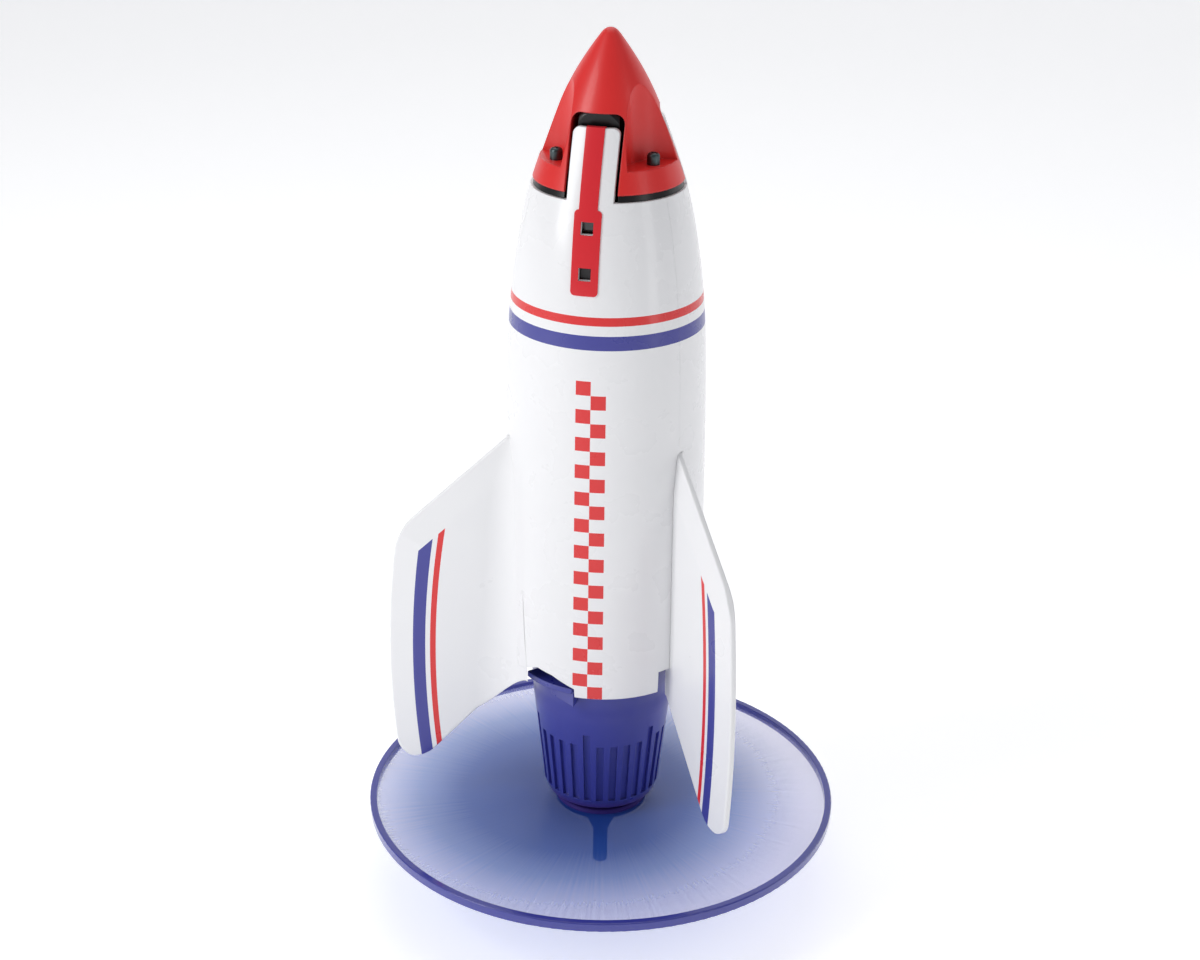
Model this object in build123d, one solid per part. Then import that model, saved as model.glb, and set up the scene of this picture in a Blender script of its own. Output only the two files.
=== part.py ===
from build123d import *
import math
import os

# A motor-driven model rocket: moulded body, pop-off nose, twist-off tail unit and ringed rotor.
# Millimetres.  Z is the rocket's axis and z = 0 is the shoulder of the launch pin.
# Front (the label side) is -Y.  An azimuth is counted from the front towards +X.

# Main heights
PIN_LENGTH = 12.0
RING_BOTTOM, RING_TOP = 13.0, 16.0
CUP_BOTTOM, CUP_TOP = 16.6, 79.0
BODY_BOTTOM, BODY_TOP = 66.0, 218.7
SKIRT_BOTTOM = 220.7

# Outer curve of the body and nose: radius at height
OUTLINE = [
    (30.6, BODY_BOTTOM),
    (30.8, 80.0),
    (30.4, 118.0),
    (29.9, 154.0),
    (28.9, 179.0),
    (26.3, 201.0),
    (22.55, 218.5),
    (18.0, 232.0),
    (11.3, 248.0),
    (3.2, 260.8),
]
WALL = 1.6
NOSE_WALL = 1.8

# Three-fold layout
FIN_AZIMUTHS = {"right": 60.0, "rear": 180.0, "left": -60.0}
PANEL_AZIMUTHS = {"front": 0.0, "right_rear": 120.0, "left_rear": -120.0}
THIRDS = (0.0, 120.0, 240.0)

# Tongues of the body panels and the slots for them in the nose
TONGUE_HALF, TONGUE_TOP, TONGUE_CORNER = 6.7, 238.1, 2.0
SLOT_HALF, SLOT_TOP, SLOT_CORNER = 7.7, 241.8, 3.0
CHANNEL_R = 12.3
COLLAR_BORE = 9.6

# Screwdriver scoops in the nose
SCOOP_R, SCOOP_CENTRE, SCOOP_FLOOR = 11.6, 22.5, 226.8
SCREW_AT, SCREW_HEAD_R, SCREW_HEAD_H, SCREW_R = 16.0, 1.85, 3.4, 1.25
SCREW_TURN = 5.0

# Fins: flat plates that lean away from the radius, bevelled on two edges
FIN_ROOT_R, FIN_RAKE = 30.5, 20.0
FIN_THICK, FIN_RIM, FIN_BEVEL = 4.4, 1.8, 8.2
FIN_TAB, FIN_ROOT_TOP, FIN_ROOT_BOTTOM = 1.5, 144.3, 63.0
# corners in the fin's own plane: distance out from the root, height
FIN_CORNER, FIN_BELLY, FIN_HEEL, FIN_TOE = (34.1, 110.3), (37.3, 74.0), (35.4, 31.0), (27.4, 31.0)

# Notches under the fin roots, seen from each fin's own azimuth
NOTCH_TOP, NOTCH_FROM, NOTCH_TO = 73.0, -12.5, 1.0
# the open side's notch is an arch, drawn flat on the shell about its own azimuth: distance round, height
ARCH_AZIMUTH = 39.0
ARCH = [(-19.3, 65.0), (-19.3, 69.0), (-10.0, 70.0), (-2.7, 73.0), (2.9, 72.0), (10.0, 68.8), (10.0, 65.0)]

# Tail cup
CUP_WALL = 1.6
FLUTES, FLUTE_WIDTH, FLUTE_DEPTH = 30, 2.2, 1.0
FLUTE_BOTTOM, FLUTE_TOP, TALL_FLUTE_TOP, TALL_EVERY = 21.8, 43.0, 47.2, 5
LUG_FROM, LUG_TO, LIP_FROM = 29.0, 54.0, 16.0
LUG_R, LUG_BOTTOM, LIP_BOTTOM, LIP_TOP = 26.6, 59.5, 64.8, 66.6
COLLAR_R = 22.4
HOOK_R, HOOK_BOTTOM, HOOK_TOP, HOOK_SPAN = 26.0, 76.3, 78.6, 16.0
LOCK_BOTTOM, LOCK_TOP, LOCK_TWIST = 73.3, 76.0, -14.0
LOCK_OUT = 28.3

# Rotor
RING_OUT, RING_IN = 75.0, 72.8
BLADES, BLADE_THICK, BLADE_TILT, BLADE_GAP_DEG = 9, 0.7, 2.2, 0.2
HUB_R = 14.6
PIN_R = 2.35
SHAFT_R, SHAFT_CLEAR = 1.0, 0.05

# Label strip, windows and what sits behind them
LABEL_HALF, LABEL_BOTTOM, LABEL_TOP = 3.95, 193.2, 216.8
STRIPE_HALF = 2.7
TRIM_THICK = 0.3
WINDOW, LAMP_Z, BUTTON_Z = 3.6, 211.8, 199.2
BUTTON, BUTTON_LENGTH, BUTTON_SUNK = 3.0, 2.3, 1.0
BOARD_Y, BOARD_THICK = -19.4, 1.2

# Inside the body
MOTOR_R, MOTOR_BOTTOM, MOTOR_TOP = 12.2, 24.0, 54.0
LOWER_DECK, UPPER_DECK, DECK_THICK = 80.0, 146.0, 2.4
CELL_R, CELL_LENGTH = 5.25, 44.5
TUBE_OUT, TUBE_IN, TUBE_TOP = 18.2, 17.0, 209.0


def turned(shape, azimuth):
    """A copy of a front-facing shape, turned about the rocket's axis to an azimuth."""
    return Rot(0, 0, azimuth) * shape


def ring_of(shape, azimuths=THIRDS):
    """One copy of a front-facing shape at each azimuth."""
    return [turned(shape, azimuth) for azimuth in azimuths]


def tube(outer, inner, low, high):
    """A straight round wall between two heights."""
    wall = Pos(0, 0, low) * Cylinder(outer, high - low, align=(Align.CENTER, Align.CENTER, Align.MIN))
    if inner:
        wall -= Pos(0, 0, low - 1) * Cylinder(
            inner, high - low + 2, align=(Align.CENTER, Align.CENTER, Align.MIN)
        )
    return wall


def block(x, y, z):
    """A box from its three pairs of limits."""
    size = [high - low for low, high in (x, y, z)]
    centre = [(high + low) / 2 for low, high in (x, y, z)]
    return Pos(*centre) * Box(*size)


def spun(points):
    """The solid that a closed outline of (radius, height) points sweeps round the axis."""
    with BuildPart() as part:
        with BuildSketch(Plane.XZ):
            with BuildLine():
                Polyline(*points, close=True)
            make_face()
        revolve(axis=Axis.Z)
    return part.part


def sector(low_az, high_az, low, high, radius=90.0):
    """A wedge of space between two azimuths and two heights."""
    steps = max(2, math.ceil((high_az - low_az) / 40.0) + 1)
    angles = [low_az + (high_az - low_az) * i / (steps - 1) for i in range(steps)]
    corners = [(radius * math.sin(math.radians(a)), -radius * math.cos(math.radians(a))) for a in angles]
    return Pos(0, 0, low) * extrude(make_face(Polyline((0, 0), *corners, (0, 0))), high - low)


def envelope(inset=0.0):
    """The whole body and nose as one solid of revolution, its curve drawn in by a wall's thickness."""
    curve = [(radius - inset, height) for radius, height in OUTLINE if radius - inset > 2.5]
    end_r, end_z = curve[-1]
    tip = (0, end_z + end_r * 0.7)
    with BuildPart() as part:
        with BuildSketch(Plane.XZ):
            with BuildLine():
                Spline(*curve, tip, tangents=[(0.1, 1.0), (-1.0, 0.0)])
                Polyline(tip, (0, BODY_BOTTOM), curve[0])
            make_face()
        revolve(axis=Axis.Z)
    return part.part


def arch(half, low, high, corner, near, far):
    """An upright slot shape on the front: straight sides, flat top with round corners."""
    outline = Pos(0, (low + high) / 2) * Rectangle(2 * half, high - low)
    tops = outline.vertices().sort_by(Axis.Y)[-2:]
    outline = fillet(tops, corner)
    face = Plane(origin=(0, -near, 0), x_dir=(1, 0, 0), z_dir=(0, -1, 0)) * outline
    return extrude(face, far - near, dir=(0, -1, 0))


def radius_at(height):
    """Radius of the outer curve at a height, straight between the outline's points."""
    for (r0, z0), (r1, z1) in zip(OUTLINE, OUTLINE[1:]):
        if z0 <= height <= z1:
            return r0 + (r1 - r0) * (height - z0) / (z1 - z0)
    return 0.0


def fin_plane():
    """The fin's own plane: x runs outwards from the root, leaning off the radius, and y runs up."""
    lean = math.radians(-FIN_RAKE)
    out_x, out_y = math.sin(lean), -math.cos(lean)
    return Plane(origin=(0, -FIN_ROOT_R, 0), x_dir=(out_x, out_y, 0), z_dir=(out_y, -out_x, 0))


def bevel_profile(edge):
    """The sliver that a bevel takes off one face, ending a little outside an edge at a distance."""
    face = FIN_THICK / 2
    slope = (FIN_THICK - FIN_RIM) / 2 / FIN_BEVEL
    beyond = 3.0
    return make_face(Polyline((edge - FIN_BEVEL, face), (edge + beyond, face - slope * (FIN_BEVEL + beyond)),
                              (edge + beyond, face + beyond), (edge - FIN_BEVEL, face + beyond), close=True))


def fin():
    """A front-facing fin: arc-edged plate, bevelled on the leading and outer edges, with a root tab."""
    root_top, root_bottom = (-FIN_TAB, FIN_ROOT_TOP), (-FIN_TAB, FIN_ROOT_BOTTOM)
    with BuildSketch() as flat:
        with BuildLine():
            Polyline(FIN_HEEL, FIN_TOE, root_bottom, root_top, FIN_CORNER)
            ThreePointArc(FIN_CORNER, FIN_BELLY, FIN_HEEL)
        make_face()
        for point, radius in ((FIN_CORNER, 4.0), (FIN_HEEL, 5.8), (FIN_TOE, 4.0)):
            fillet(flat.vertices().sort_by_distance(point)[0], radius)
    plate = extrude(flat.sketch, FIN_THICK / 2, both=True)

    # leading edge: a long wedge laid along the line from the root to the outer corner
    run = Vector(*FIN_CORNER) - Vector(*root_top)
    along = Plane(origin=(*root_top, 0), x_dir=(run.X, run.Y, 0), z_dir=(0, 0, 1))
    across = Plane(origin=along.origin, x_dir=along.y_dir, z_dir=along.x_dir)
    leading = extrude(across * bevel_profile(0), 90.0, both=True)
    # outer edge: the same wedge swept round the centre of the edge's arc
    arc = ThreePointArc(FIN_CORNER, FIN_BELLY, FIN_HEEL)
    outer = revolve(Plane.XZ * bevel_profile(arc.radius), Axis.Z)
    outer = Pos(arc.arc_center.X, arc.arc_center.Y, 0) * outer
    for cut in (leading, outer):
        plate -= cut
        plate -= mirror(cut, Plane.XY)
    return fin_plane() * plate


def notch_arch():
    """The arch-topped cut in the foot of the shell, facing the front."""
    face = Plane(origin=(0, -20, 0), x_dir=(1, 0, 0), z_dir=(0, -1, 0)) * make_face(Polyline(*ARCH, close=True))
    return extrude(face, 20, dir=(0, -1, 0))


def body_panels(fins):
    """Three shells with a tongue each, cut for the notches, the fins' roots and the front windows."""
    skin = envelope() - envelope(WALL) - tube(60, 0, 0, BODY_BOTTOM)
    shell = skin & tube(40, 0, BODY_BOTTOM, BODY_TOP)
    upper = skin & tube(40, 0, BODY_TOP, TONGUE_TOP + 1)
    tongue = upper & arch(TONGUE_HALF, BODY_TOP - 4, TONGUE_TOP, TONGUE_CORNER, 5, 40)
    for azimuth in FIN_AZIMUTHS.values():
        shell -= turned(sector(NOTCH_FROM, NOTCH_TO, BODY_BOTTOM - 1, NOTCH_TOP), azimuth)
        shell -= turned(notch_arch(), azimuth + ARCH_AZIMUTH)
    panels = {}
    for name, azimuth in PANEL_AZIMUTHS.items():
        panel = (shell & turned(sector(-60, 60, BODY_BOTTOM - 2, BODY_TOP + 1), azimuth)) + turned(tongue, azimuth)
        for plate in fins.values():
            panel -= plate
        if name == "front":
            for height in (LAMP_Z, BUTTON_Z):
                panel -= block((-WINDOW / 2, WINDOW / 2), (-40, -10),
                               (height - WINDOW / 2, height + WINDOW / 2))
        panels["body_panel_" + name] = panel
    return panels


def front_trim():
    """The thin strip on the front: a stripe up the tongue and a wider plate round the windows."""
    film = envelope(-TRIM_THICK) - envelope(0)
    stripe = block((-STRIPE_HALF, STRIPE_HALF), (-40, -5), (LABEL_TOP - 2, TONGUE_TOP))
    outline = RectangleRounded(2 * LABEL_HALF, LABEL_TOP - LABEL_BOTTOM, 1.2)
    face = Plane(origin=(0, -5, (LABEL_TOP + LABEL_BOTTOM) / 2), x_dir=(1, 0, 0), z_dir=(0, -1, 0)) * outline
    plate = extrude(face, 35, dir=(0, -1, 0))
    film = film & (stripe + plate)
    over = block((-STRIPE_HALF, STRIPE_HALF), (-40, -5), (TONGUE_TOP, TONGUE_TOP + TRIM_THICK))
    film += (envelope(-TRIM_THICK) - envelope(WALL)) & over
    for height in (LAMP_Z, BUTTON_Z):
        film -= block((-WINDOW / 2, WINDOW / 2), (-40, -10), (height - WINDOW / 2, height + WINDOW / 2))
    return film


def scoops(grow, floor):
    """The upright round channels that let a screwdriver down to the nose's three screws."""
    channel = Pos(0, -SCOOP_CENTRE, floor) * Cylinder(
        SCOOP_R + grow, 60, align=(Align.CENTER, Align.CENTER, Align.MIN)
    )
    return ring_of(channel, FIN_AZIMUTHS.values())


def screw_azimuths():
    """Where the nose screws stand: a little round from the middle of each scoop."""
    return [azimuth + SCREW_TURN for azimuth in FIN_AZIMUTHS.values()]


def screw_holes():
    """A hole for each nose screw, through the ledge and into the collar."""
    hole = Pos(0, -SCREW_AT, SCOOP_FLOOR) * Cylinder(SCREW_R + 0.05, 12)
    return ring_of(hole, screw_azimuths())


def nose_cone():
    """Hollow red nose with three tongue slots, three scoops and a screw ledge in each scoop."""
    cone = envelope() - tube(60, 0, 0, SKIRT_BOTTOM)
    hollow = envelope(NOSE_WALL)
    for channel in scoops(NOSE_WALL, SCOOP_FLOOR - NOSE_WALL):
        hollow -= channel
    cone -= hollow
    for channel in scoops(0, SCOOP_FLOOR):
        cone -= channel
    for slot in ring_of(arch(SLOT_HALF, SKIRT_BOTTOM - 5, SLOT_TOP, SLOT_CORNER, 5, 40)):
        cone -= slot
    for bore in screw_holes():
        cone -= bore
    return cone


def nose_collar():
    """Glossy black inner collar: flange in the reveal, spigot into the body, core behind the slots."""
    flange = envelope(0.7) & tube(40, 0, BODY_TOP + 0.15, SKIRT_BOTTOM)
    core = envelope(NOSE_WALL + 0.2) & tube(40, 0, SKIRT_BOTTOM, 243.0)
    for channel in scoops(NOSE_WALL + 0.2, SCOOP_FLOOR - NOSE_WALL - 0.2):
        core -= channel
    spigot = tube(19.6, 0, BODY_TOP - 6.0, BODY_TOP + 0.15)
    collar = flange + core + spigot
    collar -= tube(COLLAR_BORE, 0, BODY_TOP - 8, 236.0)
    channel = block((-SLOT_HALF, SLOT_HALF), (-40, -CHANNEL_R), (BODY_TOP - 9, 250))
    for slot in ring_of(channel):
        collar -= slot
    for bore in screw_holes():
        collar -= bore
    return collar


def nose_screws():
    """Three upright pan-head screws with cross recesses, at the feet of the scoops."""
    head = Pos(0, 0, SCOOP_FLOOR) * Cylinder(SCREW_HEAD_R, SCREW_HEAD_H,
                                             align=(Align.CENTER, Align.CENTER, Align.MIN))
    head = fillet(head.edges().sort_by(Axis.Z)[-1], 1.1)
    top = SCOOP_FLOOR + SCREW_HEAD_H
    slot = block((-1.2, 1.2), (-0.25, 0.25), (top - 1.0, top + 1))
    head -= slot
    head -= Rot(0, 0, 90) * slot
    shank = tube(SCREW_R, 0, SCOOP_FLOOR - 5.5, SCOOP_FLOOR)
    screw = Pos(0, -SCREW_AT, 0) * (head + shank)
    return Compound(ring_of(screw, screw_azimuths()))


def tether_eye():
    """Eye under the nose's collar that the parachute's lines tie to."""
    plate = tube(8.4, 0, 234.4, 236.0)
    eye = Pos(0, 0, 231.0) * Rot(90, 0, 0) * Torus(2.6, 0.8)
    stem = tube(0.9, 0, 233.4, 234.6)
    return plate + stem + eye


def cup_rim(outer, low_az, high_az, low, high):
    """A raised patch on the cup's collar."""
    return tube(outer, COLLAR_R - 1.2, low, high) & sector(low_az, high_az, low - 1, high + 1)


def lug_wedge():
    """The lug under the lip: its flat face starts flush with the collar and stands full height at the far end."""
    lead = 5.0
    wedge = cup_rim(LUG_R, LUG_FROM, LUG_TO, LUG_BOTTOM, LIP_BOTTOM)
    flush = COLLAR_R * math.cos(math.radians(lead))
    return wedge - turned(block((-40, 40), (-60, -flush), (0, 100)), LUG_FROM - lead)


def tail_cup():
    """Fluted cup with a round foot, a plain collar that enters the body, three lugs and three hooks."""
    foot_r = 15.5
    outer = spun([(0, CUP_BOTTOM), (foot_r - 1.5, CUP_BOTTOM), (17.3, CUP_BOTTOM + 2.2), (18.5, CUP_BOTTOM + 5.5),
                  (18.95, 27), (21.7, 52), (COLLAR_R, 62), (COLLAR_R, CUP_TOP), (0, CUP_TOP)])
    inner = spun([(0, CUP_BOTTOM + 2.2), (14.5, CUP_BOTTOM + 2.2), (16.6, CUP_BOTTOM + 6), (17.1, 27),
                  (19.9, 52), (COLLAR_R - CUP_WALL, 62), (COLLAR_R - CUP_WALL, CUP_TOP + 1), (0, CUP_TOP + 1)])
    cup = outer - inner
    for index in range(FLUTES):
        top = TALL_FLUTE_TOP if index % TALL_EVERY == 0 else FLUTE_TOP
        ends = ((18.5, FLUTE_BOTTOM), (18.95 + (top - 27) * 0.11, top))
        groove = loft([Pos(0, FLUTE_DEPTH - radius - 2, z) * Rectangle(FLUTE_WIDTH, 4.0) for radius, z in ends])
        cup -= turned(groove, index * 360.0 / FLUTES + 1.0)
    pieces = [lug_wedge(), cup_rim(LUG_R + 0.7, LIP_FROM, LUG_TO, LIP_BOTTOM, LIP_TOP),
              cup_rim(HOOK_R, LUG_TO - HOOK_SPAN, LUG_TO, HOOK_BOTTOM, HOOK_TOP)]
    for azimuth in FIN_AZIMUTHS.values():
        for piece in pieces:
            cup += turned(piece, azimuth)
    cup -= tube(4.1, 0, CUP_BOTTOM - 1, CUP_BOTTOM + 4)
    return cup


def lock_ring():
    """Ring inside the foot of the body that the cup's hooks turn over, with an entry slot for each."""
    ring = tube(LOCK_OUT, COLLAR_R + 0.4, LOCK_BOTTOM, LOCK_TOP)
    open_to = LUG_TO + LOCK_TWIST + 1
    entry = tube(HOOK_R + 0.5, 0, LOCK_BOTTOM - 1, LOCK_TOP + 1) & sector(
        open_to - HOOK_SPAN - 2, open_to, LOCK_BOTTOM - 1, LOCK_TOP + 1)
    for azimuth in FIN_AZIMUTHS.values():
        ring -= turned(entry, azimuth)
    return ring


def motor_can():
    """Small can motor with a bearing boss and a bore for its shaft."""
    can = tube(MOTOR_R, 0, MOTOR_BOTTOM, MOTOR_TOP)
    can = fillet(can.edges().sort_by(Axis.Z)[0], 1.2)
    can += tube(3.0, 0, MOTOR_BOTTOM - 1.8, MOTOR_BOTTOM)
    can -= block((-20, 20), (9.6, 20), (MOTOR_BOTTOM + 4, MOTOR_TOP + 1))
    can -= block((-20, 20), (-20, -9.6), (MOTOR_BOTTOM + 4, MOTOR_TOP + 1))
    can -= tube(SHAFT_R + SHAFT_CLEAR, 0, MOTOR_BOTTOM - 5, MOTOR_TOP + 1)
    return can


def motor_clamp():
    """Plate across the cup that holds the motor down, with a bore over the shaft's end."""
    plate = tube(19.6, 0, MOTOR_TOP, MOTOR_TOP + 2.4)
    plate -= tube(3.2, 0, MOTOR_TOP - 1, MOTOR_TOP + 4)
    for bore in ring_of(Pos(0, -15.5, MOTOR_TOP) * Cylinder(1.1, 8), (90.0, 270.0)):
        plate -= bore
    return plate


def clamp_screws():
    """Two pan-head screws that hold the motor clamp."""
    z = MOTOR_TOP + 2.4
    screw = tube(2.0, 0, z, z + 1.6) + tube(1.05, 0, MOTOR_TOP - 2.5, z)
    return Compound(ring_of(Pos(0, -15.5, 0) * screw, (90.0, 270.0)))


def motor_shaft():
    """Steel shaft from the motor down into the rotor's hub."""
    return tube(SHAFT_R, 0, 6.0, MOTOR_TOP + 1.6)


def rotor_hub():
    """Hub that tapers down to the launch pin, with a socket for the motor's shaft."""
    hub = spun([(0, 0), (PIN_R, 0), (5.6, 7.4), (7.2, 9.2), (11.2, 11.6), (HUB_R - 0.4, 12.9), (HUB_R, 13.4),
                (HUB_R, 15.2), (HUB_R - 0.6, 15.8), (4.0, 15.8), (4.0, 20.6), (0, 20.6)])
    return hub - tube(SHAFT_R, 0, 6.0, 21.0)


def launch_pin():
    """Plain round pin that drops into a launch stand's socket."""
    pin = tube(PIN_R, 0, -PIN_LENGTH, 0)
    return chamfer(pin.edges().sort_by(Axis.Z)[0], 0.4)


def rotor_ring():
    """Upright hoop that joins the blades' tips, with a rounded top and bottom edge."""
    hoop = tube(RING_OUT, RING_IN, RING_BOTTOM, RING_TOP)
    return fillet(hoop.edges().filter_by(GeomType.CIRCLE), 0.35)


def rotor_blades():
    """Nine thin sector blades, tilted a little, that fill the space between the hub and the hoop."""
    half = math.radians(180.0 / BLADES - BLADE_GAP_DEG / 2)
    rim, root = RING_IN, HUB_R
    edge = [(r * math.sin(a), -r * math.cos(a)) for r, a in
            ((root - 0.6, -half), (rim + 1, -half), (rim + 4.5, 0), (rim + 1, half), (root - 0.6, half))]
    slab = extrude(make_face(Polyline(*edge, close=True)), BLADE_THICK / 2, both=True)
    blade = Rot(0, BLADE_TILT, 0) * slab
    blade = Pos(0, 0, (RING_TOP + RING_BOTTOM) / 2) * blade
    room = tube(rim, root, RING_BOTTOM, RING_TOP)
    blade = blade & room
    return Compound(ring_of(blade, [i * 360.0 / BLADES + 6.0 for i in range(BLADES)]))


def deck(height, hole):
    """A round bulkhead inside the body."""
    return tube(LOCK_OUT, hole, height, height + DECK_THICK)


def battery_holder():
    """Moulded tray with three side-by-side cell bays, standing on the lower deck."""
    low = LOWER_DECK + DECK_THICK
    high = low + CELL_LENGTH + 8
    tray = block((-18.5, 18.5), (-1.5, 10.5), (low, high))
    for x in (-11.6, 0, 11.6):
        tray -= Pos(x, 4.6, low + 4 + CELL_LENGTH / 2) * Cylinder(CELL_R + 0.25, CELL_LENGTH + 1)
        tray -= block((x - CELL_R - 0.25, x + CELL_R + 0.25), (4.6, 12), (low + 3.5, high - 3.5))
    return tray


def battery_cells():
    """Three small round cells with their raised ends."""
    low = LOWER_DECK + DECK_THICK + 4
    cells = []
    for index, x in enumerate((-11.6, 0, 11.6)):
        cell = tube(CELL_R, 0, low, low + CELL_LENGTH - 0.8)
        cell += tube(1.9, 0, low + CELL_LENGTH - 0.8, low + CELL_LENGTH)
        if index == 1:
            cell = Pos(0, 0, 2 * low + CELL_LENGTH) * Rot(180, 0, 0) * cell
        cells.append(Pos(x, 4.6, 0) * cell)
    return Compound(cells)


def circuit_board():
    """Upright control board behind the windows."""
    return block((-10, 10), (BOARD_Y - BOARD_THICK, BOARD_Y), (180.0, 206.0))


def board_parts():
    """The board's chip, capacitor and crystal, on its inner face's sides."""
    front = BOARD_Y - BOARD_THICK
    chip = block((-8.5, -3.5), (front - 1.2, front), (184.0, 190.0))
    can = Pos(6.5, front - 1.4, 187.0) * Rot(90, 0, 0) * Cylinder(2.2, 2.8)
    return Compound([chip, can])


def tact_switch():
    """Small push switch on the board, under the power button."""
    front = BOARD_Y - BOARD_THICK
    body = block((-3, 3), (front - 1.6, front), (BUTTON_Z - 3, BUTTON_Z + 3))
    return body


def power_button():
    """Square button in the lower window, a little below the face of the body."""
    face = -(radius_at(BUTTON_Z) - BUTTON_SUNK)
    cap = block((-BUTTON / 2, BUTTON / 2), (face, face + BUTTON_LENGTH),
                (BUTTON_Z - BUTTON / 2, BUTTON_Z + BUTTON / 2))
    return fillet(cap.edges().filter_by(Axis.Y), 0.4)


def status_lamp():
    """Dark lamp lens behind the upper window."""
    face = -(radius_at(LAMP_Z) - 1.9)
    return block((-WINDOW / 2 - 0.6, WINDOW / 2 + 0.6), (face, face + 1.2), (LAMP_Z - 1.3, LAMP_Z + 2.2))


def parachute_pack():
    """The folded canopy, as a plain round pad in its bay."""
    pad = tube(16.2, 0, 166.0, 205.0)
    return fillet(pad.edges().filter_by(GeomType.CIRCLE), 3.0)


def ejector_spring():
    """Coil under the parachute that pushes it and the nose out."""
    low, high, coil_r, wire_r = UPPER_DECK + DECK_THICK + 0.9, 164.0, 12.0, 0.6
    path = Pos(0, 0, low) * Helix(pitch=(high - low) / 5, height=high - low, radius=coil_r)
    section = Plane(origin=path @ 0, z_dir=path % 0) * Circle(wire_r)
    return sweep(section, path)


def build():
    fins = {name: turned(fin(), azimuth) for name, azimuth in FIN_AZIMUTHS.items()}
    parts = {f"fin_{name}": plate for name, plate in fins.items()}
    parts |= body_panels(fins)
    parts |= {
        "front_trim": front_trim(),
        "nose_cone": nose_cone(),
        "nose_collar": nose_collar(),
        "nose_screws": nose_screws(),
        "tether_eye": tether_eye(),
        "tail_cup": tail_cup(),
        "lock_ring": lock_ring(),
        "motor_can": motor_can(),
        "motor_clamp": motor_clamp(),
        "clamp_screws": clamp_screws(),
        "motor_shaft": motor_shaft(),
        "rotor_hub": rotor_hub(),
        "launch_pin": launch_pin(),
        "rotor_ring": rotor_ring(),
        "rotor_blades": rotor_blades(),
        "lower_deck": deck(LOWER_DECK, 4.0),
        "upper_deck": deck(UPPER_DECK, 0),
        "battery_holder": battery_holder(),
        "battery_cells": battery_cells(),
        "circuit_board": circuit_board(),
        "board_parts": board_parts(),
        "tact_switch": tact_switch(),
        "power_button": power_button(),
        "status_lamp": status_lamp(),
        "parachute_tube": tube(TUBE_OUT, TUBE_IN, UPPER_DECK + DECK_THICK, TUBE_TOP),
        "parachute_pack": parachute_pack(),
        "ejector_spring": ejector_spring(),
    }
    return parts


os.makedirs("parts", exist_ok=True)
for node, shape in build().items():
    export_step(shape, f"parts/{node}.step")
    print(node, round(shape.volume, 1), "mm3")
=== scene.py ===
import math

import bmesh
import bpy
import numpy as np
from bpy.props import FloatProperty, FloatVectorProperty, IntProperty, PointerProperty
from mathutils import Matrix, Vector


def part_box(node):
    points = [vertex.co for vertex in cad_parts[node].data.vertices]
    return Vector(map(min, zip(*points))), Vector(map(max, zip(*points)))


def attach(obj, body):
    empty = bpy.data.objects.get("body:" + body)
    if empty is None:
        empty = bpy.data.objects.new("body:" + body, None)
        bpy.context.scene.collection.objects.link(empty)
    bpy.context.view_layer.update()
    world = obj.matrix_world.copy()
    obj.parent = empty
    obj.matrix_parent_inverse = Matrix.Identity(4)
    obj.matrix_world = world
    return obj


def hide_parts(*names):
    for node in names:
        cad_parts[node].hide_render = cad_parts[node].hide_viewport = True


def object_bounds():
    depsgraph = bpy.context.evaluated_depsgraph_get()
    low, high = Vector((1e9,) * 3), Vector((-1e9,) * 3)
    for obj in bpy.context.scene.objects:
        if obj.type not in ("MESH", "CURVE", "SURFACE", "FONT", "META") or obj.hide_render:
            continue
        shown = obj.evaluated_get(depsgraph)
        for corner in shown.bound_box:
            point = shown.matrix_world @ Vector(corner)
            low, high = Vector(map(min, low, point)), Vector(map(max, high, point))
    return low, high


bl_info = {
    "name": "Model rocket",
    "version": (1, 0, 0),
    "blender": (4, 5, 0),
    "location": "3D View > Sidebar > Rocket",
    "description": "A motor-driven model rocket with raked fins, a pop-off nose and a ringed rotor",
    "category": "Add Mesh",
}

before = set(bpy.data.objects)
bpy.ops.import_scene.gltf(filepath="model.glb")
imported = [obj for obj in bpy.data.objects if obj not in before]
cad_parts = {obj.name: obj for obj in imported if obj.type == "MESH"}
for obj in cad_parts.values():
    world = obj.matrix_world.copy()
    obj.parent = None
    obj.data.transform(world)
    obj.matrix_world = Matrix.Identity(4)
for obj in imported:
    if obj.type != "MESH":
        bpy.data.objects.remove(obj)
CAD_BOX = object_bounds()
MM = 0.001

# Azimuths are counted in degrees from the front (-Y) towards +X.
FIN_AZIMUTHS = {"right": 60.0, "rear": 180.0, "left": -60.0}
# Distance of the fins' roots from the axis, and the body's radius at four heights beside them
ROOT_R = 30.5 * MM
BODY_HEIGHTS = np.array([66.0, 80.0, 118.0, 154.0]) * MM
BODY_RADII = np.array([30.6, 30.8, 30.4, 29.9]) * MM


# ---------------------------------------------------------------- colour and nodes

MATH, MIX, NOISE, SPAN = "ShaderNodeMath", "ShaderNodeMix", "ShaderNodeTexNoise", "ShaderNodeMapRange"
PLACE, AXES, BUMP, BEVEL = "ShaderNodeTexCoord", "ShaderNodeSeparateXYZ", "ShaderNodeBump", "ShaderNodeBevel"


def linear(hex_colour):
    """An sRGB hex colour as linear red, green, blue and alpha."""
    values = [int(hex_colour[i:i + 2], 16) / 255 for i in (1, 3, 5)]
    return tuple(v / 12.92 if v <= 0.04045 else ((v + 0.055) / 1.055) ** 2.4 for v in values) + (1.0,)


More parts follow.
